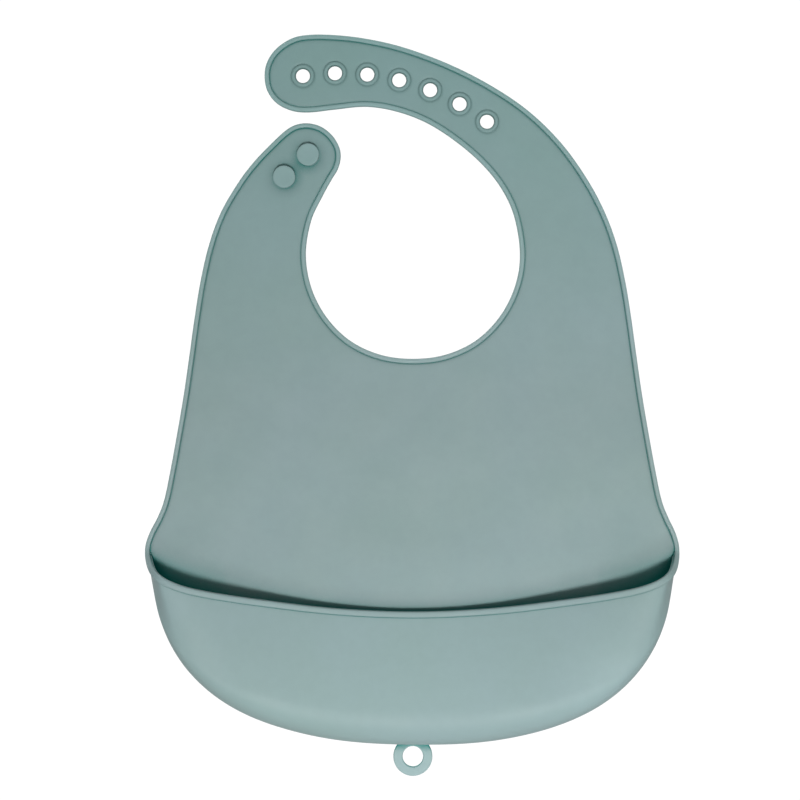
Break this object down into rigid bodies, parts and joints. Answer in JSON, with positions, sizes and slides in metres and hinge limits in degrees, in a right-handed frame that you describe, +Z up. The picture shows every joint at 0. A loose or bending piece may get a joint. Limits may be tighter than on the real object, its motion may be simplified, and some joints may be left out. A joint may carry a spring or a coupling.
{
  "type": "silicone bib",
  "caption": "Soft moulded baby bib with a rimmed catch-all pocket, a raised edge bead, a holed neck strap that fastens on mushroom buttons, and a hanging loop.",
  "frame": {"origin": "centre of the hanging loop's hole, on the bib's flat back face", "axes": "+Z up the bib's length, from the loop to the straps; the front, with the pocket, faces -Y; +X to the right seen from the front"},
  "size_m": [0.2304, 0.0194, 0.3187],
  "materials": {
    "silicone": "matte"
  },
  "bodies": {
    "collar": {"collar_panel": "silicone", "neck_bead": "silicone", "collar_left_bead": "silicone", "collar_right_bead": "silicone", "storage_fold_band": "silicone", "hole_strap_shoulder_band": "silicone", "button_strap_shoulder_band": "silicone"},
    "lower_bib": {"lower_panel": "silicone", "lower_left_bead": "silicone", "lower_right_bead": "silicone", "pocket_wall": "silicone", "pocket_floor_fold": "silicone", "pocket_left_gusset": "silicone", "pocket_right_gusset": "silicone", "loop_web": "silicone"},
    "pocket_front": {"pocket_front": "silicone", "pocket_rim": "silicone"},
    "hanging_loop": {"hanging_loop": "silicone"},
    "hole_strap_base": {"hole_strap_base": "silicone", "hole_strap_base_bead": "silicone", "hole_strap_base_rim": "silicone", "hole_strap_lower_band": "silicone"},
    "hole_strap_middle": {"hole_strap_middle": "silicone", "hole_strap_middle_bead": "silicone", "hole_strap_middle_rims": "silicone", "hole_strap_upper_band": "silicone"},
    "hole_strap_tip": {"hole_strap_tip": "silicone", "hole_strap_tip_bead": "silicone", "hole_strap_tip_rims": "silicone"},
    "button_strap": {"button_strap": "silicone", "button_strap_bead": "silicone", "upper_button": "silicone", "lower_button": "silicone"}
  },
  "joints": [
    {"name": "storage_fold", "type": "hinge", "parent": "collar", "child": "lower_bib", "pos_m": [0, -0.00125, 0.13], "axis": [-1, 0, 0], "range_deg": [-30, 120], "stiffness_Nm_per_rad": 0.02, "deforming": ["storage_fold_band"]},
    {"name": "pocket_swing", "type": "hinge", "parent": "lower_bib", "child": "pocket_front", "pos_m": [0, -0.0235, 0.0165], "axis": [1, 0, 0], "range_deg": [-1, 30], "stiffness_Nm_per_rad": 0.05, "deforming": ["pocket_floor_fold", "pocket_left_gusset", "pocket_right_gusset"]},
    {"name": "loop_flex", "type": "hinge", "parent": "lower_bib", "child": "hanging_loop", "pos_m": [0, 0, 0.0084], "axis": [1, 0, 0], "range_deg": [0, 50], "stiffness_Nm_per_rad": 0.004, "deforming": ["loop_web"]},
    {"name": "hole_strap_wrap", "type": "hinge", "parent": "collar", "child": "hole_strap_base", "pos_m": [0.05702, -0.00125, 0.24506], "axis": [-0.891, 0, -0.454], "range_deg": [-15, 55], "stiffness_Nm_per_rad": 0.02, "deforming": ["hole_strap_shoulder_band"]},
    {"name": "hole_strap_middle_curl", "type": "hinge", "parent": "hole_strap_base", "child": "hole_strap_middle", "pos_m": [0.02634, -0.00125, 0.27673], "axis": [-0.3979, 0, -0.9174], "range_deg": [-15, 55], "stiffness_Nm_per_rad": 0.015, "deforming": ["hole_strap_lower_band"]},
    {"name": "hole_strap_tip_curl", "type": "hinge", "parent": "hole_strap_middle", "child": "hole_strap_tip", "pos_m": [-0.01218, -0.00125, 0.29203], "axis": [0.1582, 0, -0.9874], "range_deg": [-15, 55], "stiffness_Nm_per_rad": 0.01, "deforming": ["hole_strap_upper_band"]},
    {"name": "button_strap_wrap", "type": "hinge", "parent": "collar", "child": "button_strap", "pos_m": [-0.06358, -0.00125, 0.22951], "axis": [-0.9781, 0, 0.2079], "range_deg": [-15, 60], "stiffness_Nm_per_rad": 0.015, "deforming": ["button_strap_shoulder_band"]}
  ],
  "couplings": [
    {"joint": "hole_strap_middle_curl", "follows": "hole_strap_wrap", "ratio": 1},
    {"joint": "hole_strap_tip_curl", "follows": "hole_strap_wrap", "ratio": 1}
  ]
}
